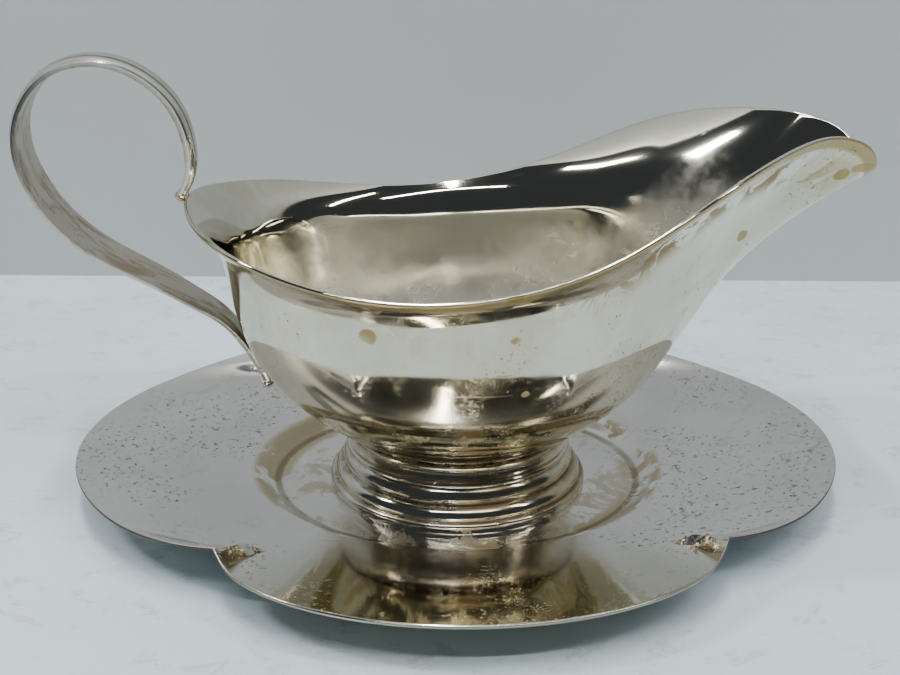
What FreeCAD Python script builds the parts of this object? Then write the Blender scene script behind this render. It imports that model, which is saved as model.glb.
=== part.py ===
import FreeCAD, Part
import math
import os

# Silver sauce boat standing in the sunk well of its tray. Millimetres, +Z up, +X towards the spout.
# Origin: middle of the flat underside of the tray, which is what stands on the table.

# Tray
TRAY_SHEET = 1.2
TRAY_HALF_LENGTH = 111.5
TRAY_HALF_WIDTH = 102.0
TRAY_RISE = 11.7
NOTCH_RADIUS = 94.5
NOTCH_ANGLE = 46.5
END_LOBE_POWER = 1.8
SIDE_LOBE_POWER = 4.0
WELL_HALF_LENGTH = 53.2
WELL_HALF_WIDTH = 46.3
WELL_STEP = 3.4
WELL_STEP_SHARE = 0.13
BRIM_POWER = 1.25
# Crest that runs in from each notch: height, how far it fades (degrees) on the end lobe and on the
# side lobe, and the shares of the way to the edge where its tip starts and over which it rises
CREST_HEIGHT = 3.0
CREST_END_FADE = 24.0
CREST_SIDE_FADE = 7.0
CREST_START = 0.52
CREST_SPREAD_START = 0.93
CREST_RAMP = 0.18

# Foot
FOOT_RADIUS = 38.0
FOOT_HEIGHT = 18.4
FOOT_SHEET = 1.3
NECK_RADIUS = 31.0
NECK_HEIGHT = 15.4
FOOT_TOP_RADIUS = 33.0
FOOT_LIP_WIDTH = 2.7
SOLDER_LAYER = 0.6
SOLDER_SETBACK = 0.4
# Steps of the foot's outer side from the base up: lip, quarter round, ogee and bead, each an arc
# through three points given as (distance in from FOOT_RADIUS, height)
FOOT_STEPS = [
    ((0.0, 1.6), (0.5, 2.5), (1.4, 2.8)),
    ((1.4, 2.8), (2.0, 5.0), (3.6, 6.4)),
    ((4.2, 6.5), (4.2, 9.0), (5.6, 11.0)),
    ((5.6, 11.0), (4.9, 12.1), (6.0, 13.2)),
]
# Inside of the foot: its slanted shoulder, and the height where the straight throat begins
FOOT_SHOULDER = (5.8, 6.0)
THROAT_HEIGHT = 13.0

# Bowl
BOWL_SHEET = 1.3
BOWL_BASE_RADIUS = 33.5
BOWL_BASE_HEIGHT = FOOT_HEIGHT + SOLDER_LAYER
BELLY_HALF_LENGTH = 65.2
BELLY_HALF_WIDTH = 55.7
BELLY_TOP_HEIGHT = 83.3
BELLY_POWER = 3.66
SPOUT_LEAN_POWER = 2.73
REAR_FLARE_POWER = 7.55
SIDE_FLARE_POWER = 14.0
SPOUT_ROUNDING = 1.2
RIM_TURN = 23.4
# Turns about the bowl over which the spout gives way to the side, and the side begins and ends
SPOUT_END = (30, 100)
SIDE_START = (60, 100)
SIDE_END = (120, 165)
# Half of the rim, from the pouring lip round to the handle end:
# (turn about the bowl in degrees, x, half width, height above the well floor)
RIM = [
    (0, 116.0, 0.0, 93.0),
    (10, 115.5, 6.4, 95.0),
    (20, 112.8, 10.8, 100.0),
    (30, 107.4, 13.6, 103.8),
    (40, 98.6, 17.8, 105.6),
    (60, 69.5, 42.5, 100.4),
    (80, 36.5, 58.0, 84.6),
    (100, 3.0, 60.6, 75.2),
    (120, -28.4, 57.4, 74.6),
    (140, -54.0, 46.0, 79.0),
    (160, -70.6, 25.5, 83.2),
    (180, -76.4, 0.0, 85.8),
]

# Handle: inner face of the strap from its lower tip, up round the loop, to its upper tip:
# (x, height above the well floor, half width, thickness)
STRAP = [
    (-54.6, 32.0, 2.0, 2.2),
    (-57.8, 38.6, 3.6, 2.2),
    (-61.2, 44.8, 5.2, 2.2),
    (-66.4, 51.4, 6.6, 2.2),
    (-73.6, 56.6, 8.0, 2.2),
    (-85.2, 63.8, 9.2, 2.2),
    (-97.6, 70.8, 10.0, 2.3),
    (-108.8, 80.0, 10.4, 2.4),
    (-115.8, 90.8, 10.2, 2.5),
    (-118.6, 102.2, 9.2, 2.6),
    (-115.8, 113.2, 7.8, 2.7),
    (-107.2, 121.2, 6.6, 2.8),
    (-96.0, 122.8, 6.0, 2.9),
    (-86.4, 119.2, 5.8, 3.0),
    (-79.0, 111.8, 5.6, 3.1),
    (-75.6, 102.4, 5.2, 3.1),
    (-75.6, 93.4, 4.6, 2.8),
    (-78.2, 87.0, 3.0, 2.2),
]
REEDS = 3
REED_DEPTH = 0.35
# Share of the strap's thickness at its edges, and how round its outer side is between them
STRAP_EDGE_SHARE = 0.45
STRAP_ROUNDNESS = 0.9
LOWER_BALL_RADIUS = 2.1
UPPER_BALL_RADIUS = 1.9
# Solder lumps: (centre x, centre height above the well floor), (radii along X, Y and Z)
UPPER_SOLDER = ((-76.9, 86.8), (2.0, 3.6, 1.9))
LOWER_SOLDER = ((-58.6, 41.4), (1.7, 4.2, 4.4))

# How finely the surfaces are set out
RIM_STATIONS = 37
WALL_STATIONS = 19
STRAP_STATIONS = 41
STRAP_ACROSS = 13
LOBE_STATIONS = 33
WELL_STATIONS = 5
BRIM_STATIONS = 15
SEW_TOLERANCE = 0.02

FLOOR = TRAY_SHEET


def smoothstep(low, high, at):
    """0 below low, 1 above high, and an even S between."""
    share = min(max((at - low) / (high - low), 0), 1)
    return share ** 2 * (3 - 2 * share)


def smooth_curve(points, stations, closed=False):
    """Smooth curve that passes each point at its station."""
    curve = Part.BSplineCurve()
    curve.interpolate(Points=points, Parameters=stations, PeriodicFlag=closed)
    return curve


def sewn_solid(faces):
    """One solid from faces whose edges meet."""
    shell = Part.makeCompound(faces)
    shell.sewShape(SEW_TOLERANCE)
    return Part.Solid(shell.Shells[0])


def border_edge(points):
    """Smooth edge through a row of points."""
    curve = Part.BSplineCurve()
    curve.interpolate(points)
    return curve.toShape()


# ---- tray ----

def lobe_radius(angle):
    """Distance from the middle to the tray's edge, angle in degrees from +X."""
    folded = abs((angle + 90) % 180 - 90)
    if folded <= NOTCH_ANGLE:
        share = (folded / NOTCH_ANGLE) ** END_LOBE_POWER
        return TRAY_HALF_LENGTH - (TRAY_HALF_LENGTH - NOTCH_RADIUS) * share
    share = ((90 - folded) / (90 - NOTCH_ANGLE)) ** SIDE_LOBE_POWER
    return TRAY_HALF_WIDTH - (TRAY_HALF_WIDTH - NOTCH_RADIUS) * share


def oval_radius(half_length, half_width, angle):
    """Distance from the middle to an oval's edge."""
    turn = math.radians(angle)
    return 1 / math.hypot(math.cos(turn) / half_length, math.sin(turn) / half_width)


def tray_height(share):
    """Height of the tray's upper face above the well floor, from well (0) to edge (1)."""
    wall = WELL_STEP * smoothstep(0, WELL_STEP_SHARE, share)
    return wall + (TRAY_RISE - WELL_STEP) * share ** BRIM_POWER


def notch_crest(share, angle):
    """Extra height of the folded crest that runs in from each notch."""
    beyond = abs((angle + 90) % 180 - 90) - NOTCH_ANGLE
    away = min(max(-beyond / CREST_END_FADE, beyond / CREST_SIDE_FADE), 1)
    start = CREST_START + (CREST_SPREAD_START - CREST_START) * math.sqrt(away)
    return CREST_HEIGHT * smoothstep(start, start + CREST_RAMP, share) * (1 - away) ** 2


def tray_ring(share, level):
    """Closed outline of the tray at one share of the way from well to edge: one edge per lobe."""
    edges = []
    corners = [NOTCH_ANGLE, 180 - NOTCH_ANGLE, 180 + NOTCH_ANGLE, 360 - NOTCH_ANGLE]
    for start, end in zip([corners[-1] - 360] + corners[:-1], corners):
        points = []
        for k in range(LOBE_STATIONS):
            angle = start + (end - start) * k / (LOBE_STATIONS - 1)
            inner = oval_radius(WELL_HALF_LENGTH, WELL_HALF_WIDTH, angle)
            plain = oval_radius(TRAY_HALF_LENGTH, TRAY_HALF_WIDTH, angle)
            outer = plain + (lobe_radius(angle) - plain) * share ** 2
            radius = inner + (outer - inner) * share
            height = level + tray_height(share) + notch_crest(share, angle)
            turn = math.radians(angle)
            points.append(FreeCAD.Vector(radius * math.cos(turn), radius * math.sin(turn), height))
        edges.append(border_edge(points))
    return Part.Wire(edges)


def tray():
    """Pressed dish with four lobes, a sunk oval well and a rising brim."""
    well_shares = [WELL_STEP_SHARE * k / (WELL_STATIONS - 1) for k in range(WELL_STATIONS)]
    brim_shares = [
        WELL_STEP_SHARE + (1 - WELL_STEP_SHARE) * k / (BRIM_STATIONS - 1)
        for k in range(BRIM_STATIONS)
    ]
    faces = []
    outlines = []
    for level in (FLOOR, FLOOR - TRAY_SHEET):
        well = [tray_ring(share, level) for share in well_shares]
        brim = [tray_ring(share, level) for share in brim_shares]
        faces += Part.makeLoft(well, False).Faces
        faces += Part.makeLoft(brim, False).Faces
        faces.append(Part.Face(well[0]))
        outlines.append(brim[-1])
    for upper, lower in zip(outlines[0].Edges, outlines[1].Edges):
        faces.append(Part.makeRuledSurface(upper, lower))
    return sewn_solid(faces)


# ---- foot ----

def foot_point(inset, height):
    """Point on the foot's section, measured in from its widest radius."""
    return FreeCAD.Vector(FOOT_RADIUS - inset, 0, height)


def foot_profile():
    """Edges of the foot's outer side, from its base lip up to its top."""
    steps = [[foot_point(*place) for place in step] for step in FOOT_STEPS]
    base = Part.makeLine(foot_point(0, 0), steps[0][0])
    ledge = Part.makeLine(steps[1][-1], steps[2][0])
    neck = FreeCAD.Vector(NECK_RADIUS, 0, NECK_HEIGHT)
    top = FreeCAD.Vector(FOOT_TOP_RADIUS, 0, FOOT_HEIGHT)
    steps.append([steps[-1][-1], neck, top])
    return [base, ledge] + [Part.Arc(*step).toShape() for step in steps]


def foot():
    """Hollow stepped pedestal, open below."""
    throat = NECK_RADIUS - FOOT_SHEET
    corners = [
        FreeCAD.Vector(FOOT_TOP_RADIUS, 0, FOOT_HEIGHT),
        FreeCAD.Vector(throat, 0, FOOT_HEIGHT),
        FreeCAD.Vector(throat, 0, THROAT_HEIGHT),
        foot_point(*FOOT_SHOULDER),
        foot_point(FOOT_LIP_WIDTH, 0),
        foot_point(0, 0),
    ]
    closing = [Part.makeLine(start, end) for start, end in zip(corners[:-1], corners[1:])]
    section = Part.Face(Part.Wire(Part.__sortEdges__(foot_profile() + closing)))
    solid = section.revolve(FreeCAD.Vector(0, 0, 0), FreeCAD.Vector(0, 0, 1), 360)
    solid.translate(FreeCAD.Vector(0, 0, FLOOR))
    return solid


def foot_solder():
    """Thin ring of solder between the foot's top and the bowl's base."""
    inner = NECK_RADIUS - FOOT_SHEET
    outer = FOOT_TOP_RADIUS - SOLDER_SETBACK
    base = FreeCAD.Vector(0, 0, FLOOR + FOOT_HEIGHT)
    ring = Part.makeCylinder(outer, SOLDER_LAYER, base)
    return ring.cut(Part.makeCylinder(inner, SOLDER_LAYER, base))


# ---- bowl ----

def rim_line():
    """Closed line of the rim, one station per degree from the lip round the -Y side."""
    near = [FreeCAD.Vector(x, -width, height) for _, x, width, height in RIM]
    far = [FreeCAD.Vector(point.x, -point.y, point.z) for point in near[-2:0:-1]]
    turns = [row[0] for row in RIM]
    turns += [360 - turn for turn in turns[-2::-1]]
    return smooth_curve(near + far, turns, True)


RIM_LINE = rim_line()


def flare_power(turn):
    """How late the wall leaves the belly for the rim: gradual at the spout, sudden at the sides."""
    power = SPOUT_LEAN_POWER + (REAR_FLARE_POWER - SPOUT_LEAN_POWER) * smoothstep(*SPOUT_END, turn)
    middle = smoothstep(*SIDE_START, turn) - smoothstep(*SIDE_END, turn)
    return power + (SIDE_FLARE_POWER - REAR_FLARE_POWER) * middle


def belly(height, turn):
    """Oval belly of the bowl, without its flare and spout, at one height and turn."""
    share = (height - BOWL_BASE_HEIGHT) / (BELLY_TOP_HEIGHT - BOWL_BASE_HEIGHT)
    swell = 1 - (1 - min(max(share, 0), 1)) ** BELLY_POWER
    along = BOWL_BASE_RADIUS + (BELLY_HALF_LENGTH - BOWL_BASE_RADIUS) * swell
    across = BOWL_BASE_RADIUS + (BELLY_HALF_WIDTH - BOWL_BASE_RADIUS) * swell
    return along * math.cos(turn), across * math.sin(turn)


def wall_point(turn, rise):
    """Outer face of the bowl on its -Y half, at a turn and a rise from base (0) to rim (1)."""
    rim = RIM_LINE.value(turn)
    angle = math.radians(turn)
    shifted = angle - math.radians(RIM_TURN) * math.sin(angle) * (1 + math.cos(angle))
    rounding = SPOUT_ROUNDING * (1 - smoothstep(*SPOUT_END, turn))
    lip_height = RIM[0][3]
    height = BOWL_BASE_HEIGHT + (lip_height - BOWL_BASE_HEIGHT) * rise
    height += (rim.z - lip_height) * rise ** (1 + rounding)
    x, width = belly(height, shifted)
    top_x, top_width = belly(rim.z, shifted)
    flare = rise ** flare_power(turn)
    x += (rim.x - top_x) * flare
    width += (-rim.y - top_width) * flare
    return FreeCAD.Vector(x, -width, FLOOR + height)


def wall_normal(turn, rise):
    """Outward direction of the bowl's wall."""
    step = 0.5
    slide = 0.004
    low, high = max(turn - step, 0), min(turn + step, 180)
    bottom, top = max(rise - slide, 0), min(rise + slide, 1)
    around = wall_point(high, rise) - wall_point(low, rise)
    up = wall_point(turn, top) - wall_point(turn, bottom)
    normal = up.cross(around)
    if turn in (0, 180):
        normal.y = 0
    normal.normalize()
    return normal


def closed_ring(half_row):
    """Closed wire through a row of points on the -Y half and its mirror image."""
    far_side = [FreeCAD.Vector(point.x, -point.y, point.z) for point in half_row[-2:0:-1]]
    points = half_row + far_side
    places = [k / len(points) for k in range(len(points) + 1)]
    return Part.Wire(smooth_curve(points, places, True).toShape())


def inner_point(turn, rise):
    """Inner face of the bowl's wall; its lowest row lies flat above the base."""
    within = wall_point(turn, rise) - wall_normal(turn, rise) * BOWL_SHEET
    if rise == 0:
        reach = (BOWL_BASE_RADIUS - BOWL_SHEET) / math.hypot(within.x, within.y)
        height = FLOOR + BOWL_BASE_HEIGHT + BOWL_SHEET
        within = FreeCAD.Vector(within.x * reach, within.y * reach, height)
    return within


def bowl():
    """Raised silver bowl with a flared lip and a broad scoop spout."""
    turns = [180 * j / (RIM_STATIONS - 1) for j in range(RIM_STATIONS)]
    rises = [i / (WALL_STATIONS - 1) for i in range(WALL_STATIONS)]
    faces = []
    rims = []
    for place in (wall_point, inner_point):
        rings = [closed_ring([place(turn, rise) for turn in turns]) for rise in rises]
        faces += Part.makeLoft(rings, False).Faces
        faces.append(Part.Face(rings[0]))
        rims.append(rings[-1])
    faces.append(Part.makeRuledSurface(rims[0].Edges[0], rims[1].Edges[0]))
    return sewn_solid(faces)


# ---- handle ----

def strap_lines():
    """Line of the strap's inner face, and its (half width, thickness), both by length along it."""
    stations = [0]
    for before, after in zip(STRAP[:-1], STRAP[1:]):
        stations.append(stations[-1] + math.dist(before[:2], after[:2]))
    face = [FreeCAD.Vector(x, 0, FLOOR + height) for x, height, _, _ in STRAP]
    sizes = [FreeCAD.Vector(half_width, thickness, 0) for _, _, half_width, thickness in STRAP]
    return smooth_curve(face, stations), smooth_curve(sizes, stations)


STRAP_FACE, STRAP_SIZE = strap_lines()


def strap_frame(share):
    """Inner-face point, outward direction, half width and thickness along the strap."""
    at = share * STRAP_FACE.LastParameter
    run = STRAP_FACE.tangent(at)[0]
    size = STRAP_SIZE.value(at)
    return STRAP_FACE.value(at), FreeCAD.Vector(-run.z, 0, run.x), size.x, size.y


def strap_section(share):
    """Closed outline across the strap at one share of its length: flat inside, reeded outside."""
    point, outward, half_width, thickness = strap_frame(share)
    outer = []
    for k in range(STRAP_ACROSS):
        across = 2 * k / (STRAP_ACROSS - 1) - 1
        round_share = math.sqrt(1 - STRAP_ROUNDNESS * across ** 2)
        crown = thickness * (STRAP_EDGE_SHARE + (1 - STRAP_EDGE_SHARE) * round_share)
        crown -= REED_DEPTH * (1 - math.cos(2 * math.pi * REEDS * (across + 1) / 2)) / 2
        outer.append(point + FreeCAD.Vector(0, across * half_width, 0) + outward * crown)
    near = point - FreeCAD.Vector(0, half_width, 0)
    far = point + FreeCAD.Vector(0, half_width, 0)
    edges = [
        Part.makeLine(far, near),
        Part.makeLine(near, outer[0]),
        border_edge(outer),
        Part.makeLine(outer[-1], far),
    ]
    return Part.Wire(edges)


def handle():
    """Cast reeded strap with a small ball at each end."""
    sections = [strap_section(i / (STRAP_STATIONS - 1)) for i in range(STRAP_STATIONS)]
    strap = Part.makeLoft(sections, True)
    for share, radius in ((0, LOWER_BALL_RADIUS), (1, UPPER_BALL_RADIUS)):
        point, outward, _, thickness = strap_frame(share)
        strap = strap.fuse(Part.makeSphere(radius, point + outward * thickness / 2))
    return strap.Solids[0]


def solder_lump(place, radii, keep_off):
    """Small lump of solder that fills the gap between its neighbours."""
    matrix = FreeCAD.Matrix()
    matrix.scale(*radii)
    matrix.move(FreeCAD.Vector(place[0], 0, FLOOR + place[1]))
    lump = Part.makeSphere(1).transformGeometry(matrix)
    for solid in keep_off:
        lump = lump.cut(solid)
    return max(lump.Solids, key=lambda piece: piece.Volume)


def main():
    os.makedirs("parts", exist_ok=True)
    bowl_solid = bowl()
    handle_solid = handle()
    neighbours = [bowl_solid, handle_solid]
    pieces = {
        "tray": tray(),
        "foot": foot(),
        "foot_solder": foot_solder(),
        "bowl": bowl_solid,
        "handle": handle_solid,
        "upper_solder": solder_lump(*UPPER_SOLDER, neighbours),
        "lower_solder": solder_lump(*LOWER_SOLDER, neighbours),
    }
    for name, shape in pieces.items():
        shape.exportStep(f"parts/{name}.step")
        print(name, shape.isValid(), round(shape.Volume, 1), len(shape.Solids), shape.BoundBox)


main()
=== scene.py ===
import math

import bpy
import numpy as np
from mathutils import Matrix, Vector


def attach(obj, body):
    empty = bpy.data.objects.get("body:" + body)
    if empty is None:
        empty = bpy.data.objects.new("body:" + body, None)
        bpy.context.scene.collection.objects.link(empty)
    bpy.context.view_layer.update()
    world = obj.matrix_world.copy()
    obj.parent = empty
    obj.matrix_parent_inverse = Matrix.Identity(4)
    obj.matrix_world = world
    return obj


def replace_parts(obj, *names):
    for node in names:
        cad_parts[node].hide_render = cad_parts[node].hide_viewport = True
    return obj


# Silver sauce boat on its tray. Shapes are worked out in millimetres and scaled to metres in make_mesh().
MM = 0.001

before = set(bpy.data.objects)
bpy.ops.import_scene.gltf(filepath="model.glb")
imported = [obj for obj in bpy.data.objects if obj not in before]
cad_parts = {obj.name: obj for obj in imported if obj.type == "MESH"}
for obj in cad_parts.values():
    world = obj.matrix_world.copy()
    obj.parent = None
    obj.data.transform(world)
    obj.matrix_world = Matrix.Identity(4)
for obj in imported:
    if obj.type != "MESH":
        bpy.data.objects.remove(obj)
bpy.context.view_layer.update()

# ---- sizes shared with the solid model ----

FLOOR = 1.2
TRAY_SHEET = 1.2
TRAY_HALF_LENGTH = 111.5
TRAY_HALF_WIDTH = 102.0
TRAY_RISE = 11.7
NOTCH_RADIUS = 94.5
NOTCH_ANGLE = 46.5
END_LOBE_POWER = 1.8
SIDE_LOBE_POWER = 4
WELL_HALF_LENGTH = 53.2
WELL_HALF_WIDTH = 46.3
WELL_STEP = 3.4
WELL_STEP_SHARE = 0.13
BRIM_POWER = 1.25
LOBE_POINTS = 110
CREST_HEIGHT = 3.0
CREST_END_FADE = 24.0
CREST_SIDE_FADE = 7.0
CREST_START = 0.52
CREST_SPREAD_START = 0.93
CREST_RAMP = 0.18

FOOT_RADIUS = 38.0
FOOT_HEIGHT = 18.4
FOOT_SHEET = 1.3
NECK_RADIUS = 31.0
NECK_HEIGHT = 15.4
FOOT_TOP_RADIUS = 33.0
FOOT_LIP_WIDTH = 2.7
FOOT_EDGE = 0.25
# Steps of the foot's outer side from the base up: lip, quarter round, ogee and bead, each an arc
# through three points given as (distance in from FOOT_RADIUS, height)
FOOT_STEPS = [
    ((0.0, 1.6), (0.5, 2.5), (1.4, 2.8)),
    ((1.4, 2.8), (2.0, 5.0), (3.6, 6.4)),
    ((4.2, 6.5), (4.2, 9.0), (5.6, 11.0)),
    ((5.6, 11.0), (4.9, 12.1), (6.0, 13.2)),
]
FOOT_STEP_POINTS = (8, 12, 12, 10)
COVE_POINTS = 14
# Inside of the foot: its slanted shoulder, and the height where the straight throat begins
FOOT_SHOULDER = (5.8, 6.0)
THROAT_HEIGHT = 13.0
# Grooves that hold tarnish: height, half width, how dark
FOOT_HOLLOWS = ((6.5, 0.9, 1.0), (2.8, 0.6, 1.0), (11.0, 0.6, 1.0), (14.6, 1.6, 0.7))

BOWL_SHEET = 1.3
BOWL_BASE_RADIUS = 33.5
BOWL_BASE_HEIGHT = 19.0
BELLY_HALF_LENGTH = 65.2
BELLY_HALF_WIDTH = 55.7
BELLY_TOP_HEIGHT = 83.3
BELLY_POWER = 3.66
SPOUT_LEAN_POWER = 2.73
REAR_FLARE_POWER = 7.55
SIDE_FLARE_POWER = 14.0
SPOUT_ROUNDING = 1.2
RIM_TURN = 23.4
# turns about the bowl over which the spout gives way to the side, and the side begins and ends
SPOUT_END = (30, 100)
SIDE_START = (60, 100)
SIDE_END = (120, 165)
# turn about the bowl in degrees, x, half width, height above the well floor
RIM = np.array([
    (0, 116.0, 0.0, 93.0),
    (10, 115.5, 6.4, 95.0),
    (20, 112.8, 10.8, 100.0),
    (30, 107.4, 13.6, 103.8),
    (40, 98.6, 17.8, 105.6),
    (60, 69.5, 42.5, 100.4),
    (80, 36.5, 58.0, 84.6),
    (100, 3.0, 60.6, 75.2),
    (120, -28.4, 57.4, 74.6),
    (140, -54.0, 46.0, 79.0),
    (160, -70.6, 25.5, 83.2),
    (180, -76.4, 0.0, 85.8),
])

# inner face of the strap from its lower tip to its upper tip:
# x, height above the well floor, half width, thickness
STRAP = np.array([
    (-54.6, 32.0, 2.0, 2.2),
    (-57.8, 38.6, 3.6, 2.2),
    (-61.2, 44.8, 5.2, 2.2),
    (-66.4, 51.4, 6.6, 2.2),
    (-73.6, 56.6, 8.0, 2.2),
    (-85.2, 63.8, 9.2, 2.2),
    (-97.6, 70.8, 10.0, 2.3),
    (-108.8, 80.0, 10.4, 2.4),
    (-115.8, 90.8, 10.2, 2.5),
    (-118.6, 102.2, 9.2, 2.6),
    (-115.8, 113.2, 7.8, 2.7),
    (-107.2, 121.2, 6.6, 2.8),
    (-96.0, 122.8, 6.0, 2.9),
    (-86.4, 119.2, 5.8, 3.0),
    (-79.0, 111.8, 5.6, 3.1),
    (-75.6, 102.4, 5.2, 3.1),
    (-75.6, 93.4, 4.6, 2.8),
    (-78.2, 87.0, 3.0, 2.2),
])
REEDS = 3
REED_DEPTH = 0.35
# share of the strap's thickness at its edges, how round it is between them, and how much narrower
# than its solid it is drawn
STRAP_EDGE_SHARE = 0.45
STRAP_ROUNDNESS = 0.9
STRAP_TRIM = 0.985
BACK_POINTS = 12
LOWER_BALL_RADIUS = 2.1
UPPER_BALL_RADIUS = 1.9
# solder lumps: (centre x, centre height above the well floor), (radii along X, Y and Z)
UPPER_SOLDER = ((-76.9, 86.8), (2.0, 3.6, 1.9))
LOWER_SOLDER = ((-58.6, 41.4), (1.7, 4.2, 4.4))
LUMP_SHRINK = 0.93


# ---- mesh helpers ----

def smoothstep(low, high, at):
    share = np.clip((at - low) / (high - low), 0, 1)
    return share * share * (3 - 2 * share)


def curve_through(stations, values, at, closed=False):
    """Columns of values on a smooth curve through rows of values at their stations."""
    stations = np.asarray(stations, float)
    values = np.asarray(values, float)
    if closed:
        period = stations[-1] - stations[0]
        stations = np.concatenate([stations[:-1] - period, stations[:-1], stations + period])
        values = np.concatenate([values[:-1], values[:-1], values])
    gaps = np.diff(stations)
    count = len(stations)
    rows = np.eye(count)
    steps = np.zeros_like(values)
    for k in range(1, count - 1):
        rows[k, k - 1:k + 2] = gaps[k - 1], 2 * (gaps[k - 1] + gaps[k]), gaps[k]
        steps[k] = 6 * ((values[k + 1] - values[k]) / gaps[k] - (values[k] - values[k - 1]) / gaps[k - 1])
    bends = np.linalg.solve(rows, steps)
    index = np.clip(np.searchsorted(stations, at, side="right") - 1, 0, count - 2)
    gap = gaps[index][:, None]
    t = ((at - stations[index]) / gaps[index])[:, None]
    u = 1 - t
    straight = u * values[index] + t * values[index + 1]
    return straight + gap ** 2 / 6 * ((u ** 3 - u) * bends[index] + (t ** 3 - t) * bends[index + 1])


def grid_normals(grid, closed):
    """Unit normals of a rows-by-columns grid of points; closed says that each row is a loop."""
    if closed:
        around = np.roll(grid, -1, axis=1) - np.roll(grid, 1, axis=1)
    else:
        around = np.gradient(grid, axis=1)
    up = np.gradient(grid, axis=0)
    normal = np.cross(around, up)
    return normal / np.linalg.norm(normal, axis=2, keepdims=True)


def make_mesh(name, grid, caps=(True, True), marks=None, sharp=None):
    """Closed mesh from rows of points, each row a loop. A capped end gets a fan to its middle."""
    rows, columns = grid.shape[:2]
    points = [tuple(p) for p in grid.reshape(-1, 3)]
    faces = []
    for i in range(rows - 1):
        for j in range(columns):
            k = (j + 1) % columns
            faces.append((i * columns + j, i * columns + k, (i + 1) * columns + k, (i + 1) * columns + j))
    values = {} if marks is None else {key: list(rows_of.reshape(-1)) for key, rows_of in marks.items()}
    for wanted, row, flip in ((caps[0], 0, True), (caps[1], rows - 1, False)):
        if not wanted:
            continue
        middle = len(points)
        points.append(tuple(grid[row].mean(axis=0)))
        for key in values:
            values[key].append(float(marks[key][row].mean()))
        for j in range(columns):
            edge = (row * columns + j, row * columns + (j + 1) % columns)
            faces.append((edge[1], edge[0], middle) if flip else (edge[0], edge[1], middle))
    mesh = bpy.data.meshes.new(name)
    mesh.from_pydata([Vector(p) * MM for p in points], [], faces)
    for key, numbers in values.items():
        attribute = mesh.attributes.new(key, "FLOAT", "POINT")
        attribute.data.foreach_set("value", np.array(numbers, np.float32))
    mesh.update()
    mesh.polygons.foreach_set("use_smooth", [True] * len(mesh.polygons))
    if sharp is not None:
        mesh.set_sharp_from_angle(angle=math.radians(sharp))
    piece = bpy.data.objects.new(name, mesh)
    bpy.context.scene.collection.objects.link(piece)
    return piece


def rounded_lip(outer, inner, count=7):
    """Rows of a half-round edge that joins the last row of one skin to the last row of the other."""
    last, before = outer[-1], outer[-2]
    up = last - before
    up /= np.linalg.norm(up, axis=1, keepdims=True)
    half = (inner[-1] - last) / 2
    reach = np.linalg.norm(half, axis=1, keepdims=True)
    middle = last + half - up * reach
    turns = [math.pi * k / (count - 1) for k in range(count)]
    return np.array([middle - half * math.cos(t) + up * reach * math.sin(t) for t in turns])


# ---- materials ----

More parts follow.
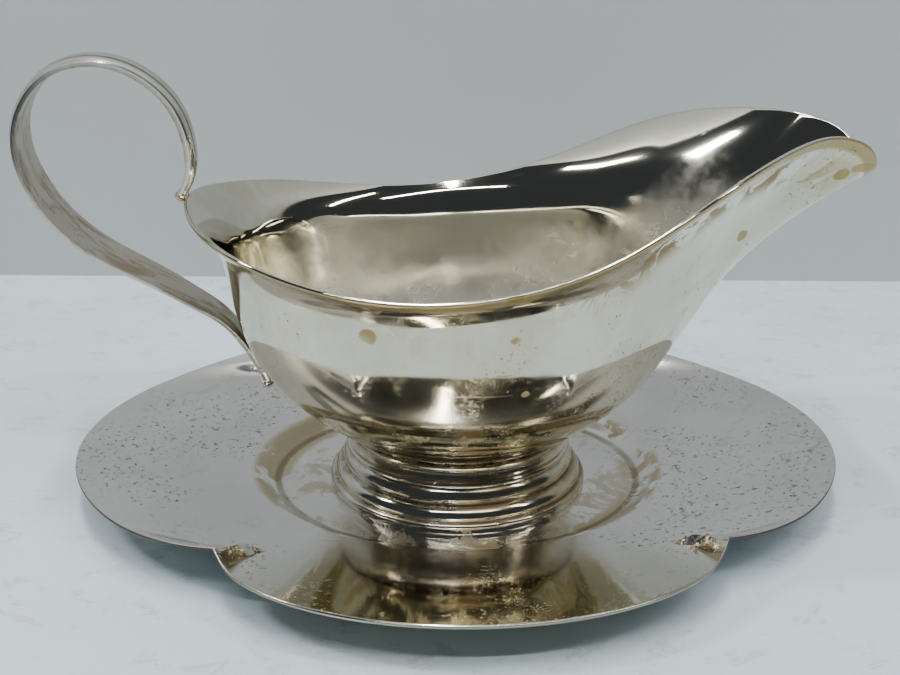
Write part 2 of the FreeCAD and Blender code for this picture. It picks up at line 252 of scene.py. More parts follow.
class Nodes:
    """Short way to write a material's node tree."""

    def __init__(self, name):
        self.material = bpy.data.materials.new(name)
        self.material.use_nodes = True
        self.tree = self.material.node_tree
        self.shader = self.tree.nodes["Principled BSDF"]

    def add(self, kind, **settings):
        node = self.tree.nodes.new(kind)
        for key, value in settings.items():
            setattr(node, key, value)
        return node

    def feed(self, socket, value):
        if isinstance(value, bpy.types.NodeSocket):
            self.tree.links.new(value, socket)
        else:
            socket.default_value = value

    def place(self, scale=(1, 1, 1), shift=(0, 0, 0), turn=(0, 0, 0)):
        """Points in metres in the object's own frame, stretched, moved and turned."""
        mapping = self.add("ShaderNodeMapping")
        source = self.add("ShaderNodeTexCoord").outputs["Object"]
        self.tree.links.new(source, mapping.inputs["Vector"])
        mapping.inputs["Scale"].default_value = scale
        mapping.inputs["Location"].default_value = shift
        mapping.inputs["Rotation"].default_value = turn
        return mapping.outputs["Vector"]

    def noise(self, scale, detail=4.0, rough=0.6, at=None, warp=0.0):
        node = self.add("ShaderNodeTexNoise")
        node.inputs["Scale"].default_value = scale
        node.inputs["Detail"].default_value = detail
        node.inputs["Roughness"].default_value = rough
        node.inputs["Distortion"].default_value = warp
        self.tree.links.new(at or self.place(), node.inputs["Vector"])
        return node.outputs["Fac"]

    def cells(self, scale, at=None):
        node = self.add("ShaderNodeTexVoronoi")
        node.inputs["Scale"].default_value = scale
        self.tree.links.new(at or self.place(), node.inputs["Vector"])
        return node.outputs["Distance"]

    def math(self, kind, first, second=0.0):
        node = self.add("ShaderNodeMath", operation=kind)
        self.feed(node.inputs[0], first)
        self.feed(node.inputs[1], second)
        return node.outputs[0]

    def both(self, *masks):
        found = masks[0]
        for mask in masks[1:]:
            found = self.math("MULTIPLY", found, mask)
        return found

    def either(self, *masks):
        found = masks[0]
        for mask in masks[1:]:
            found = self.math("MAXIMUM", found, mask)
        return found

    def band(self, value, low, high, top=1.0):
        """0 below low, top above high; low may be the larger of the two."""
        node = self.add("ShaderNodeMapRange", interpolation_type="SMOOTHSTEP")
        self.feed(node.inputs["Value"], value)
        node.inputs["From Min"].default_value = min(low, high)
        node.inputs["From Max"].default_value = max(low, high)
        node.inputs["To Min"].default_value = 0.0 if low < high else top
        node.inputs["To Max"].default_value = top if low < high else 0.0
        return node.outputs["Result"]

    def mark(self, name):
        """A value that the mesh carries at each point."""
        return self.add("ShaderNodeAttribute", attribute_name=name).outputs["Fac"]

    def tint(self, base, colour, mask):
        node = self.add("ShaderNodeMix", data_type="RGBA")
        self.feed(node.inputs["Factor"], mask)
        self.feed(node.inputs[6], base)
        self.feed(node.inputs[7], colour)
        return node.outputs[2]

    def spot(self, centre, radii, ragged=0.35, scale=160.0):
        """Ragged stain about a point, both in millimetres."""
        shrink = tuple(1 / (r * MM) for r in radii)
        at = self.place(shrink, tuple(-c * MM * s for c, s in zip(centre, shrink)))
        length = self.add("ShaderNodeVectorMath", operation="LENGTH")
        self.tree.links.new(at, length.inputs[0])
        away = self.math("ADD", length.outputs["Value"], self.math("MULTIPLY", self.noise(scale), ragged * 2))
        return self.band(away, 1.0 + ragged, 0.75 + ragged)

    def finish(self, colour, roughness, bumps, metallic=1.0):
        """Connects the colour, roughness and the bumps, each (height, strength, depth in mm)."""
        self.feed(self.shader.inputs["Base Color"], colour)
        self.feed(self.shader.inputs["Roughness"], roughness)
        self.feed(self.shader.inputs["Metallic"], metallic)
        normal = None
        for height, strength, depth in bumps:
            node = self.add("ShaderNodeBump")
            node.inputs["Strength"].default_value = strength
            node.inputs["Distance"].default_value = depth * MM
            self.feed(node.inputs["Height"], height)
            if normal is not None:
                self.tree.links.new(normal, node.inputs["Normal"])
            normal = node.outputs["Normal"]
        if normal is not None:
            self.tree.links.new(normal, self.shader.inputs["Normal"])
        return self.material


def scratches(n, density, turn, stretch=30.0):
    """Thin broken lines that run one way."""
    across = n.noise(density, 2.0, 0.5, at=n.place((1, stretch, stretch), turn=turn))
    broken = n.noise(60.0, 2.0, 0.5)
    return n.both(n.band(across, 0.66, 0.74), n.band(broken, 0.5, 0.62))


def silver_bowl():
    """Silver with a dull film low inside; spots, pits and brown streaks on the outside."""
    n = Nodes("bowl_silver_plate")
    inside = n.mark("inside")
    outside = n.math("SUBTRACT", 1.0, inside)
    below_rim = n.mark("below_rim")
    clouds = n.noise(28.0, 5.0, 0.62)
    patches = n.noise(75.0, 6.0, 0.7, warp=1.0)
    colour = n.tint((0.65, 0.615, 0.50, 1), (0.58, 0.53, 0.39, 1), n.band(clouds, 0.38, 0.66))
    colour = n.tint(colour, (0.64, 0.61, 0.52, 1), n.both(inside, 0.8))

    tail = n.both(n.mark("rear"), inside, n.band(patches, 0.3, 0.7, 0.55))
    colour = n.tint(colour, (0.52, 0.47, 0.31, 1), tail)
    fill_line = n.math("ADD", below_rim, n.band(n.noise(45.0, 5.0, 0.65), 0.3, 0.7, 14.0))
    film = n.both(inside, n.band(fill_line, 26.0, 46.0), n.band(clouds, 0.1, 0.6, 0.85))
    colour = n.tint(colour, (0.74, 0.71, 0.60, 1), film)

    rim_run = n.both(n.band(below_rim, 21.0, 11.0), n.band(below_rim, 3.5, 7.0))
    torn = n.noise(70.0, 6.0, 0.7, warp=0.8)
    streaks = n.both(rim_run, outside, n.band(torn, 0.48, 0.52), n.mark("spoutward"))
    colour = n.tint(colour, (0.27, 0.165, 0.035, 1), n.both(streaks, 0.95))
    under_lip = n.both(outside, n.band(below_rim, 4.4, 2.6), n.band(clouds, 0.25, 0.45))
    colour = n.tint(colour, (0.40, 0.30, 0.13, 1), n.both(under_lip, 0.85))
    blots = n.cells(75.0, at=n.place((1, 1, 1.3), (0.013, 0.0, 0.007)))
    blots = n.math("ADD", blots, n.both(n.noise(260.0), 0.16))
    blots = n.both(n.band(blots, 0.30, 0.25), outside, n.band(n.noise(26.0, 2.0, 0.5), 0.46, 0.56))
    colour = n.tint(colour, (0.34, 0.25, 0.08, 1), n.both(blots, 0.85))
    runs = n.noise(50.0, 4.0, 0.6, at=n.place((1.6, 1.6, 0.35)), warp=0.8)
    runs = n.both(n.band(runs, 0.62, 0.7), n.band(clouds, 0.45, 0.6), n.band(below_rim, 52.0, 30.0))
    colour = n.tint(colour, (0.70, 0.61, 0.38, 1), n.both(runs, 0.5))

    tip = n.spot((110, -7, 97), (4.6, 4.5, 2.0), scale=260.0)
    colour = n.tint(colour, (0.40, 0.27, 0.11, 1), n.both(tip, 0.8))
    specks = n.band(n.noise(750.0, 3.0, 0.65), 0.60, 0.66)
    pits = n.both(specks, n.band(n.noise(55.0, 4.0, 0.65), 0.52, 0.62), outside)
    colour = n.tint(colour, (0.12, 0.11, 0.10, 1), n.both(pits, 0.8))
    low = n.both(outside, n.mark("low"))
    colour = n.tint(colour, (0.56, 0.51, 0.34, 1), n.both(low, n.band(clouds, 0.25, 0.5, 0.9)))

    stains = n.either(streaks, blots, tip, under_lip, n.both(pits, 0.7))
    lines = n.either(scratches(n, 9.0, (0, 0, 0.1)), scratches(n, 7.0, (0.3, 0.2, 0.9)))
    haze = n.both(outside, n.band(patches, 0.35, 0.75, 0.08), n.band(below_rim, 46.0, 26.0))
    rough = n.math("ADD", 0.055, n.math("ADD", haze, n.both(film, 0.26)))
    rough = n.math("ADD", rough, n.both(stains, 0.38))
    rough = n.math("ADD", rough, n.both(lines, 0.12))
    ripple = n.noise(22.0, 2.0, 0.4)
    metal = n.math("SUBTRACT", 1.0, n.both(film, 0.15))
    bumps = [(ripple, 0.18, 0.3), (n.both(lines, outside), 0.12, 0.03), (stains, 0.1, 0.04)]
    return n.finish(colour, rough, bumps, metal)


def silver_tray():
    """Grey silver, satin on the end lobes, with dark pits, a brown well corner, a dark edge and a painted
    reflection of the bowl, a darker olive tint, on the side lobes' brim.
    """
    n = Nodes("tray_silver_plate")
    out = n.mark("out")
    clouds = n.noise(20.0, 5.0, 0.6)
    grain = n.noise(420.0, 3.0, 0.7)
    colour = n.tint((0.66, 0.635, 0.60, 1), (0.74, 0.72, 0.68, 1), n.band(clouds, 0.35, 0.65))

    pits = n.noise(620.0, 4.0, 0.72, at=n.place((1, 1, 1)))
    fields = n.noise(26.0, 4.0, 0.62, warp=0.6)
    pits = n.both(n.band(pits, 0.56, 0.63), n.band(fields, 0.45, 0.58), n.band(out, 0.04, 0.2))
    colour = n.tint(colour, (0.14, 0.11, 0.085, 1), n.both(pits, 0.85))
    grey = n.both(n.band(n.noise(34.0, 5.0, 0.7, warp=1.2), 0.6, 0.68), n.band(out, 0.2, 0.3))
    colour = n.tint(colour, (0.52, 0.49, 0.44, 1), n.both(grey, 0.45))

    corner = n.both(n.band(out, -0.09, -0.03), n.band(out, 0.15, 0.11))
    ragged = n.band(n.noise(38.0, 6.0, 0.7, warp=0.5), 0.48, 0.54)
    ring = n.both(corner, ragged)
    colour = n.tint(colour, (0.46, 0.37, 0.20, 1), n.both(ring, 0.75))
    line = n.both(n.band(out, -0.02, -0.004), n.band(out, 0.035, 0.014))
    colour = n.tint(colour, (0.20, 0.15, 0.08, 1), n.both(line, n.band(clouds, 0.3, 0.5, 0.75)))
    floor_stain = n.both(n.band(out, 0.0, -0.02), n.band(n.noise(60.0, 5.0, 0.7, warp=0.8), 0.5, 0.62))
    colour = n.tint(colour, (0.50, 0.42, 0.27, 1), n.both(floor_stain, 0.6))
    edge = n.both(n.mark("lip"), n.band(clouds, 0.25, 0.45, 0.95))
    colour = n.tint(colour, (0.06, 0.045, 0.035, 1), edge)
    # Painted reflection: a darker olive tint on the side lobes' brim stands in for the bowl mirrored there;
    # the same mask makes that brim less rough.
    side_brim_painted_reflection = n.both(n.mark("side_lobe"), n.band(out, 0.2, 0.6))
    colour = n.tint(colour, (0.50, 0.47, 0.36, 1), n.both(side_brim_painted_reflection, 0.7))

    dull = n.math("SUBTRACT", 1.0, side_brim_painted_reflection)
    lines = n.either(scratches(n, 8.0, (0, 0, 0.35)), scratches(n, 8.0, (0, 0, 1.3)))
    rough = n.math("ADD", 0.05, n.both(dull, n.band(clouds, 0.2, 0.7, 0.06)))
    rough = n.math("ADD", rough, n.both(dull, 0.05))
    rough = n.math("ADD", rough, n.both(n.either(pits, ring, floor_stain, edge), 0.3))
    ripple = n.noise(16.0, 2.0, 0.4)
    return n.finish(
        colour, rough,
        [(ripple, 0.2, 0.4), (n.both(grain, dull), 0.10, 0.02), (lines, 0.12, 0.03), (pits, 0.25, 0.04)],
    )


def silver_foot():
    """Spun silver with fine turning lines and brown in its hollows."""
    n = Nodes("foot_silver_plate")
    clouds = n.noise(40.0, 5.0, 0.6)
    colour = n.tint((0.60, 0.57, 0.50, 1), (0.50, 0.43, 0.28, 1), n.band(clouds, 0.42, 0.64, 0.85))
    hollow = n.both(n.mark("hollow"), n.band(n.noise(90.0, 4.0, 0.6), 0.35, 0.6))
    colour = n.tint(colour, (0.20, 0.14, 0.07, 1), n.both(hollow, 0.85))
    specks = n.band(n.noise(700.0, 2.0, 0.6), 0.68, 0.72)
    colour = n.tint(colour, (0.2, 0.17, 0.13, 1), n.both(specks, 0.6))
    turning = n.noise(60.0, 2.0, 0.5, at=n.place((0.6, 0.6, 40)))
    rough = n.math("ADD", 0.07, n.both(hollow, 0.3))
    rough = n.math("ADD", rough, n.band(clouds, 0.4, 0.8, 0.1))
    return n.finish(colour, rough, [(turning, 0.12, 0.04), (n.noise(30.0), 0.12, 0.2)])


def silver_handle():
    """Bright reeded outside with dark lines in the grooves; dull, brown-streaked inner face."""
    n = Nodes("handle_silver_plate")
    inner = n.mark("inner_face")
    groove = n.mark("groove")
    clouds = n.noise(45.0, 5.0, 0.65)
    colour = n.tint((0.60, 0.575, 0.52, 1), (0.50, 0.45, 0.35, 1), n.band(clouds, 0.42, 0.66, 0.85))
    streaks = n.noise(70.0, 5.0, 0.65, at=n.place((1, 2.2, 1)), warp=0.8)
    dirt = n.both(inner, n.band(streaks, 0.42, 0.66))
    colour = n.tint(colour, (0.44, 0.39, 0.30, 1), n.both(inner, 0.75))
    colour = n.tint(colour, (0.22, 0.16, 0.09, 1), n.both(dirt, 0.7))
    colour = n.tint(colour, (0.06, 0.05, 0.04, 1), n.both(groove, n.band(clouds, 0.15, 0.45, 0.92)))
    specks = n.both(n.band(n.noise(650.0, 2.0, 0.6), 0.66, 0.71), n.band(streaks, 0.4, 0.55))
    colour = n.tint(colour, (0.15, 0.12, 0.09, 1), n.both(specks, 0.6))
    rough = n.math("ADD", 0.12, n.both(inner, 0.16))
    rough = n.math("ADD", rough, n.both(n.either(dirt, groove), 0.2))
    return n.finish(colour, rough, [(n.noise(40.0), 0.1, 0.15), (dirt, 0.2, 0.05)])


def dull_solder():
    """Lumpy solder, orange brown with grey patches."""
    n = Nodes("old_solder")
    clouds = n.noise(350.0, 4.0, 0.65)
    colour = n.tint((0.50, 0.34, 0.18, 1), (0.62, 0.58, 0.50, 1), n.band(clouds, 0.45, 0.62))
    rough = n.band(clouds, 0.2, 0.8, 0.5)
    return n.finish(colour, rough, [(clouds, 0.5, 0.25)])


# ---- tray ----

def lobe_edge(angle):
    """Distance from the middle to the tray's edge."""
    folded = np.abs((angle + 90) % 180 - 90)
    share = np.minimum(folded / NOTCH_ANGLE, 1)
    end = TRAY_HALF_LENGTH - (TRAY_HALF_LENGTH - NOTCH_RADIUS) * share ** END_LOBE_POWER
    share = np.clip((90 - folded) / (90 - NOTCH_ANGLE), 0, 1)
    side = TRAY_HALF_WIDTH - (TRAY_HALF_WIDTH - NOTCH_RADIUS) * share ** SIDE_LOBE_POWER
    return np.where(folded <= NOTCH_ANGLE, end, side)


def tray_surface(shares, angles):
    """Upper face of the tray, rows from well to edge."""
    turn = np.radians(angles)
    inner = 1 / np.hypot(np.cos(turn) / WELL_HALF_LENGTH, np.sin(turn) / WELL_HALF_WIDTH)
    plain = 1 / np.hypot(np.cos(turn) / TRAY_HALF_LENGTH, np.sin(turn) / TRAY_HALF_WIDTH)
    beyond = np.abs((angles + 90) % 180 - 90) - NOTCH_ANGLE
    away = np.minimum(np.maximum(-beyond / CREST_END_FADE, beyond / CREST_SIDE_FADE), 1)
    start = CREST_START + (CREST_SPREAD_START - CREST_START) * np.sqrt(away)
    rows = []
    for share in shares:
        outer = plain + (lobe_edge(angles) - plain) * share ** 2
        radius = inner + (outer - inner) * share
        height = WELL_STEP * smoothstep(0, WELL_STEP_SHARE, share)
        height = height + (TRAY_RISE - WELL_STEP) * share ** BRIM_POWER
        crest = CREST_HEIGHT * smoothstep(start, start + CREST_RAMP, share) * (1 - away) ** 2
        rows.append(np.stack([radius * np.cos(turn), radius * np.sin(turn), FLOOR + height + crest], 1))
    return np.array(rows)


def build_tray():
    corners = [-NOTCH_ANGLE, NOTCH_ANGLE, 180 - NOTCH_ANGLE, 180 + NOTCH_ANGLE, 360 - NOTCH_ANGLE]
    angles = np.concatenate([
        np.linspace(start, end, LOBE_POINTS, endpoint=False)
        for start, end in zip(corners[:-1], corners[1:])
    ])
    shares = np.concatenate([np.linspace(0, 0.16, 16, endpoint=False), np.linspace(0.16, 1, 60)])
    top = tray_surface(shares, angles)
    floor_rings = np.linspace(0.05, 1, 16, endpoint=False)
    floor = np.array([top[0] * [r, r, 1] for r in floor_rings])
    under = top - [0, 0, TRAY_SHEET]
    half_sheet = TRAY_SHEET / 2
    outward = top[-1] - top[-2]
    outward /= np.linalg.norm(outward, axis=1, keepdims=True)
    middle = top[-1] - [0, 0, half_sheet] - outward * half_sheet
    lip = np.array([
        middle + outward * half_sheet * math.sin(t) + np.array([0, 0, half_sheet]) * math.cos(t)
        for t in np.linspace(0, math.pi, 7)
    ])
    grid = np.concatenate([floor, top[:-1], lip, under[-2::-1], floor[::-1] - [0, 0, TRAY_SHEET]])
    out = np.concatenate([floor_rings - 1, shares[:-1], np.ones(7), shares[-2::-1], floor_rings[::-1] - 1])
    folded = np.abs((angles + 90) % 180 - 90)
    side = smoothstep(NOTCH_ANGLE, NOTCH_ANGLE + 12, folded)
    lip_rows = np.zeros(len(grid))
    first = len(floor) + len(top) - 1
    lip_rows[first + 2:first + 7] = 1
    marks = {
        "lip": np.repeat(lip_rows[:, None], len(angles), 1),
        "out": np.repeat(out[:, None], len(angles), 1),
        "side_lobe": np.repeat(side[None, :], len(grid), 0),
    }
    piece = make_mesh("tray_dish", grid, marks=marks, sharp=50)
    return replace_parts(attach(piece, "tray"), "tray")


# ---- foot ----

def arc(start, through, end, count):
    """Points on the circular arc through three (radius, height) points."""
    (ax, ay), (bx, by), (cx, cy) = start, through, end
    d = 2 * (ax * (by - cy) + bx * (cy - ay) + cx * (ay - by))
    a2, b2, c2 = ax * ax + ay * ay, bx * bx + by * by, cx * cx + cy * cy
    ux = (a2 * (by - cy) + b2 * (cy - ay) + c2 * (ay - by)) / d
    uy = (a2 * (cx - bx) + b2 * (ax - cx) + c2 * (bx - ax)) / d
    first = math.atan2(ay - uy, ax - ux)
    mid = math.atan2(by - uy, bx - ux)
    last = math.atan2(cy - uy, cx - ux)
    turn = (last - first + math.pi) % (2 * math.pi) - math.pi
    half = (mid - first + math.pi) % (2 * math.pi) - math.pi
    if turn * half < 0:
        turn -= math.copysign(2 * math.pi, turn)
    radius = math.hypot(ax - ux, ay - uy)
    return [
        (ux + radius * math.cos(first + turn * k / count), uy + radius * math.sin(first + turn * k / count))
        for k in range(count + 1)
    ]


def build_foot():
    r = FOOT_RADIUS
    throat = NECK_RADIUS - FOOT_SHEET
    outer = [(r - FOOT_LIP_WIDTH, 0), (r - FOOT_EDGE, 0), (r, FOOT_EDGE), (r, 0.9)]
    reached = None
    for step, count in zip(FOOT_STEPS, FOOT_STEP_POINTS):
        points = arc(*[(r - inset, height) for inset, height in step], count)
        outer += points[1:] if step[0] == reached else points
        reached = step[-1]
    bead_end = (r - reached[0], reached[1])
    outer += arc(bead_end, (NECK_RADIUS, NECK_HEIGHT), (FOOT_TOP_RADIUS, FOOT_HEIGHT), COVE_POINTS)[1:]
    inner = [(throat, FOOT_HEIGHT), (throat, THROAT_HEIGHT), (r - FOOT_SHOULDER[0], FOOT_SHOULDER[1])]
    profile = np.array(outer + inner)
    hollow = [
        min(1.0, sum(dark * math.exp(-((height - at) / width) ** 2) for at, width, dark in FOOT_HOLLOWS))
        for _, height in profile
    ]
    profile = np.concatenate([profile, profile[:1]])
    hollow.append(hollow[0])
    turns = np.radians(np.linspace(0, 360, 256, endpoint=False))
    grid = np.array([
        np.stack([radius * np.cos(turns), radius * np.sin(turns), np.full(len(turns), FLOOR + height)], 1)
        for radius, height in profile
    ])
    marks = {"hollow": np.repeat(np.array(hollow)[:, None], len(turns), 1)}
    piece = make_mesh("foot_pedestal", grid, caps=(False, False), marks=marks, sharp=40)
    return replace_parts(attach(piece, "boat"), "foot")


def build_foot_solder():
    base = FLOOR + FOOT_HEIGHT
    turns = np.radians(np.linspace(0, 360, 256, endpoint=False))
    wobble = 0.12 * np.sin(turns * 9) + 0.1 * np.sin(turns * 23 + 1)
    inner = NECK_RADIUS - FOOT_SHEET
    section = [(inner, 0.0), (32.2, 0.0), (32.55, 0.2), (32.55, 0.4), (32.2, 0.6), (inner, 0.6), (inner, 0.0)]
    grid = []
    for radius, height in section:
        out = radius - 0.25 + (wobble if radius > 31 else 0.25)
        level = np.full(len(turns), base + height)
        grid.append(np.stack([out * np.cos(turns), out * np.sin(turns), level], 1))
    piece = make_mesh("foot_solder_ring", np.array(grid), caps=(False, False), sharp=60)
    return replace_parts(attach(piece, "boat"), "foot_solder")


# ---- bowl ----

def belly(height, turn):
    share = (height - BOWL_BASE_HEIGHT) / (BELLY_TOP_HEIGHT - BOWL_BASE_HEIGHT)
    swell = 1 - (1 - np.clip(share, 0, 1)) ** BELLY_POWER
    along = BOWL_BASE_RADIUS + (BELLY_HALF_LENGTH - BOWL_BASE_RADIUS) * swell
    across = BOWL_BASE_RADIUS + (BELLY_HALF_WIDTH - BOWL_BASE_RADIUS) * swell
    return along * np.cos(turn), across * np.sin(turn)


def bowl_wall(turns, rises):
    """Outer face of the bowl: rows from base to rim, columns once round from the lip."""
    folded = 180 - np.abs(180 - turns)
    far = RIM[-2::-1] * [-1, 1, -1, 1] + [360, 0, 0, 0]
    table = np.concatenate([RIM, far])
    rim_x, rim_width, rim_height = curve_through(table[:, 0], table[:, 1:], folded, closed=True).T
    angle = np.radians(folded)
    shifted = angle - math.radians(RIM_TURN) * np.sin(angle) * (1 + np.cos(angle))
    side = smoothstep(*SPOUT_END, folded)
    middle = smoothstep(*SIDE_START, folded) - smoothstep(*SIDE_END, folded)
    power = SPOUT_LEAN_POWER + (REAR_FLARE_POWER - SPOUT_LEAN_POWER) * side
    power = power + (SIDE_FLARE_POWER - REAR_FLARE_POWER) * middle
    top_x, top_width = belly(rim_height, shifted)
    rows = []
    for rise in rises:
        height = BOWL_BASE_HEIGHT + (RIM[0, 3] - BOWL_BASE_HEIGHT) * rise
        height = height + (rim_height - RIM[0, 3]) * rise ** (1 + SPOUT_ROUNDING * (1 - side))
        x, width = belly(height, shifted)
        x = x + (rim_x - top_x) * rise ** power
        width = width + (rim_width - top_width) * rise ** power
        rows.append(np.stack([x, np.where(turns <= 180, -width, width), FLOOR + height], 1))
    return np.array(rows)


def build_bowl():
    turns = np.linspace(0, 360, 360, endpoint=False)
    rises = np.linspace(0, 1, 110)
    outer = bowl_wall(turns, rises)
    normal = grid_normals(outer, closed=True)
    middle_row = len(rises) // 2
    near_side = len(turns) // 4
    if normal[middle_row, near_side, 1] > 0:
        normal = -normal
    inner = outer - normal * BOWL_SHEET
    floor_level = np.full(len(turns), FLOOR + BOWL_BASE_HEIGHT + BOWL_SHEET)
    reach = (BOWL_BASE_RADIUS - BOWL_SHEET) / np.hypot(inner[0, :, 0], inner[0, :, 1])
    inner[0] = np.stack([inner[0, :, 0] * reach, inner[0, :, 1] * reach, floor_level], 1)
    rings = np.linspace(0.06, 1, 22, endpoint=False)
    inner_floor = np.array([inner[0] * [r, r, 1] for r in rings])
    outer_floor = np.array([outer[0] * [r, r, 1] for r in rings])
    inside_skin = soften_corner(np.concatenate([inner_floor, inner]), len(rings))
    lip = rounded_lip(outer, inner)
    outer[-1] = lip[0]
    inside_skin[-1] = lip[-1]
    grid = np.concatenate([outer_floor, outer, lip[1:-1], inside_skin[::-1]])
    away = np.concatenate([
        np.zeros((1, len(turns))),
        np.cumsum(np.linalg.norm(np.diff(outer[::-1], axis=0), axis=2), axis=0),
    ])
    far = np.full((len(rings), len(turns)), 200.0)
    none = np.zeros((5, len(turns)))
    below = np.concatenate([far, away[::-1], none, away, far])
    inside = np.zeros(below.shape)
    inside[len(rings) + len(rises) + 2:] = 1
    x = grid[:, :, 0]
    marks = {
        "inside": inside,
        "below_rim": below,
        "rear": smoothstep(-30, -62, x),
        "spoutward": (smoothstep(20, 50, x) * 0.85 + 0.15) * (1 - 0.75 * smoothstep(90, 104, x)),
        "low": smoothstep(FLOOR + 42, FLOOR + 22, grid[:, :, 2]),
    }
    piece = make_mesh("bowl_body", grid, marks=marks, sharp=50)
    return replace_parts(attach(piece, "boat"), "bowl")


def soften_corner(skin, corner):
    """Rounds the inner corner between the bowl's floor and its wall."""
    window = slice(corner - 7, corner + 9)
    for _ in range(14):
        middle = (skin[:-2] + skin[2:]) / 2
        skin[1:-1][window] = (skin[1:-1][window] + middle[window]) / 2
    return skin


# ---- handle ----

def strap_rows(count, across):
    lengths = np.concatenate([[0], np.cumsum(np.hypot(*np.diff(STRAP[:, :2], axis=0).T))])
    at = np.linspace(0, lengths[-1], count)
    x, z, half_width, thickness = curve_through(lengths, STRAP, at).T
    ahead = curve_through(lengths, STRAP[:, :2], np.minimum(at + 0.05, lengths[-1]))
    behind = curve_through(lengths, STRAP[:, :2], np.maximum(at - 0.05, 0))
    run = ahead - behind
    run /= np.linalg.norm(run, axis=1, keepdims=True)
    outward = np.stack([-run[:, 1], np.zeros(count), run[:, 0]], 1)
    point = np.stack([x, np.zeros(count), z + FLOOR], 1)
    sideways = np.array([0, 1, 0])
    place = np.linspace(-1, 1, across)
    rows, groove, face = [], [], []
    for k in range(count):
        round_share = np.sqrt(1 - STRAP_ROUNDNESS * place ** 2)
        crown = thickness[k] * (STRAP_EDGE_SHARE + (1 - STRAP_EDGE_SHARE) * round_share)
        wave = (1 - np.cos(2 * math.pi * REEDS * (place + 1) / 2)) / 2
        reach = half_width[k] * STRAP_TRIM
        ring = [
            point[k] + sideways * reach * p + outward[k] * (c - REED_DEPTH * (1 - w))
            for p, c, w in zip(place, crown, wave)
        ]
        back = np.linspace(1, -1, BACK_POINTS)
        ring += [point[k] + sideways * reach * p + outward[k] * 0.12 * (p ** 6) for p in back]
        rows.append(ring)
        dirty = smoothstep(0.3, 0.0, wave) * (np.abs(place) < 0.95)
        groove.append(np.concatenate([dirty, np.zeros(BACK_POINTS)]))
        face.append(np.concatenate([np.zeros(across), np.ones(BACK_POINTS)]))
    return np.array(rows), np.array(groove), np.array(face), point, outward, thickness


def add_ball(name, centre, radius):
    """Small rounded end of the strap."""
    turns = np.radians(np.linspace(0, 360, 32, endpoint=False))
    rows = [
        np.stack([
            centre[0] + radius * math.sin(t) * np.cos(turns),
            centre[1] + radius * math.sin(t) * np.sin(turns),
            np.full(32, centre[2] - radius * math.cos(t)),
        ], 1)
        for t in np.linspace(0.08, math.pi - 0.08, 18)
    ]
    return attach(make_mesh(name, np.array(rows)), "boat")


def build_handle():
    grid, groove, face, point, outward, thickness = strap_rows(420, 49)
    piece = make_mesh("handle_strap", grid, marks={"groove": groove, "inner_face": face}, sharp=38)
    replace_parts(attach(piece, "boat"), "handle")
    low_end = point[0] + outward[0] * thickness[0] / 2
    high_end = point[-1] + outward[-1] * thickness[-1] / 2
    lower = add_ball("handle_lower_ball", low_end, LOWER_BALL_RADIUS)
    upper = add_ball("handle_upper_ball", high_end, UPPER_BALL_RADIUS)
    return [piece, lower, upper]


def build_solder_lump(name, node, centre, radii):
    """Uneven lump of solder in the joint between the strap and the bowl."""
    turns = np.radians(np.linspace(0, 360, 40, endpoint=False))
    rows = []
    for t in np.linspace(0.08, math.pi - 0.08, 24):
        swell = LUMP_SHRINK * (1 + 0.05 * np.sin(3 * turns + 4 * t) + 0.04 * np.sin(7 * turns - 5 * t))
        rows.append(np.stack([
            centre[0] + radii[0] * math.sin(t) * np.cos(turns) * swell,
            radii[1] * math.sin(t) * np.sin(turns) * swell,
            FLOOR + centre[1] - radii[2] * math.cos(t) * swell,
        ], 1))
    piece = make_mesh(name, np.array(rows))
    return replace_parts(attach(piece, "boat"), node)


# ---- table, wall, lights and camera ----

CAMERA_PLACE = np.array([-23.1, -367.3, 183.2])
CAMERA_YAW = 3.21
CAMERA_PITCH = 20.59
CAMERA_ROLL = 0.42
CAMERA_LENS = 54.08
WALL_DISTANCE = 561.0


def view_axes():
    yaw, pitch, roll = (math.radians(a) for a in (CAMERA_YAW, CAMERA_PITCH, CAMERA_ROLL))
    forward = Vector((math.sin(yaw) * math.cos(pitch), math.cos(yaw) * math.cos(pitch), -math.sin(pitch)))
    right = Vector((math.cos(yaw), -math.sin(yaw), 0))
    up = right.cross(forward)
    tilted_right = right * math.cos(roll) + up * math.sin(roll)
    tilted_up = -right * math.sin(roll) + up * math.cos(roll)
    return tilted_right, tilted_up, forward


def add_camera():
    right, up, forward = view_axes()
    camera = bpy.data.objects.new("camera", bpy.data.cameras.new("camera"))
    bpy.context.scene.collection.objects.link(camera)
    camera.data.sensor_width = 36
    camera.data.lens = CAMERA_LENS
    camera.data.clip_start = 0.01
    camera.matrix_world = Matrix((
        (right.x, up.x, -forward.x, CAMERA_PLACE[0] * MM),
        (right.y, up.y, -forward.y, CAMERA_PLACE[1] * MM),
        (right.z, up.z, -forward.z, CAMERA_PLACE[2] * MM),
        (0, 0, 0, 1),
    ))
    bpy.context.scene.camera = camera


def flat_panel(name, corners, material):
    mesh = bpy.data.meshes.new(name)
    mesh.from_pydata(corners, [], [(0, 1, 2, 3)])
    panel = bpy.data.objects.new(name, mesh)
    bpy.context.scene.collection.objects.link(panel)
    mesh.materials.append(material)
    return panel


def table_top():
    n = Nodes("white_table_top")
    clouds = n.noise(6.0, 4.0, 0.6)
    colour = n.tint((0.63, 0.735, 0.785, 1), (0.575, 0.675, 0.725, 1), n.band(clouds, 0.35, 0.7))
    veins = n.noise(11.0, 8.0, 0.72, at=n.place((1, 1.6, 1), turn=(0, 0, 0.5)), warp=1.2)
    broken = n.band(n.noise(90.0, 5.0, 0.7), 0.48, 0.6)
    veins = n.both(n.band(veins, 0.46, 0.5), n.band(veins, 0.54, 0.5), broken)
    colour = n.tint(colour, (0.40, 0.42, 0.44, 1), n.both(veins, 0.5))
    return n.finish(colour, 0.42, [], metallic=0.0)


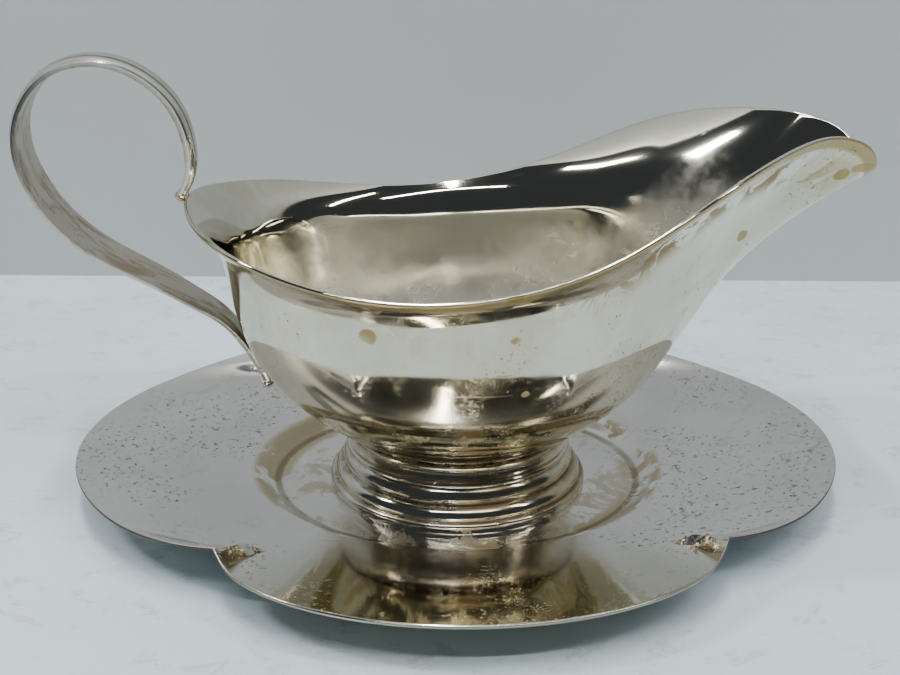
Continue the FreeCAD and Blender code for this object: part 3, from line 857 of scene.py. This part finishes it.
def wall_paint():
    n = Nodes("pale_wall")
    clouds = n.noise(3.0, 3.0, 0.5)
    colour = n.tint((0.52, 0.535, 0.535, 1), (0.47, 0.485, 0.49, 1), n.band(clouds, 0.3, 0.7))
    return n.finish(colour, 0.7, [(n.noise(300.0), 0.05, 0.1)], metallic=0.0)


def area_light(name, place, target, size, power):
    data = bpy.data.lights.new(name, "AREA")
    data.shape = "RECTANGLE"
    data.size, data.size_y = size
    data.energy = power
    lamp = bpy.data.objects.new(name, data)
    bpy.context.scene.collection.objects.link(lamp)
    lamp.location = place
    lamp.rotation_mode = "QUATERNION"
    lamp.rotation_quaternion = (Vector(target) - Vector(place)).to_track_quat("-Z", "Y")


def add_studio():
    flat_panel("floor", [(-2.5, -1.6, 0), (2.5, -1.6, 0), (2.5, 2.5, 0), (-2.5, 2.5, 0)], table_top())
    yaw = math.radians(CAMERA_YAW)
    ahead = Vector((math.sin(yaw), math.cos(yaw), 0))
    aside = Vector((math.cos(yaw), -math.sin(yaw), 0))
    foot = Vector((CAMERA_PLACE[0] * MM, CAMERA_PLACE[1] * MM, 0)) + ahead * WALL_DISTANCE * MM
    corners = [foot - aside * 2.2, foot + aside * 2.2]
    corners += [corners[1] + Vector((0, 0, 1.5)), corners[0] + Vector((0, 0, 1.5))]
    flat_panel("back_wall", corners, wall_paint())
    world = bpy.data.worlds.new("room")
    bpy.context.scene.world = world
    world.use_nodes = True
    world.node_tree.nodes["Background"].inputs["Color"].default_value = (0.20, 0.24, 0.27, 1)
    world.node_tree.nodes["Background"].inputs["Strength"].default_value = 0.22
    area_light("strip_over", (-0.1, 0.05, 1.5), (0, 0.05, 0), (1.5, 0.06), 27)
    area_light("strip_front", (0.05, -0.95, 1.55), (0, 0.1, 0), (1.5, 0.05), 15)
    area_light("strip_left", (-1.1, 0.0, 1.25), (0, 0, 0), (0.08, 0.3), 8)
    area_light("strip_right", (1.0, -0.4, 1.35), (0, 0, 0), (0.05, 1.0), 7)


def main():
    bowl_metal = silver_bowl()
    handle_metal = silver_handle()
    solder = dull_solder()
    build_tray().data.materials.append(silver_tray())
    build_foot().data.materials.append(silver_foot())
    build_foot_solder().data.materials.append(solder)
    build_bowl().data.materials.append(bowl_metal)
    for piece in build_handle():
        piece.data.materials.append(handle_metal)
    upper = build_solder_lump("upper_solder_lump", "upper_solder", *UPPER_SOLDER)
    lower = build_solder_lump("lower_solder_lump", "lower_solder", *LOWER_SOLDER)
    for lump in (upper, lower):
        lump.data.materials.append(solder)
    add_camera()
    add_studio()
    bpy.context.view_layer.update()


main()
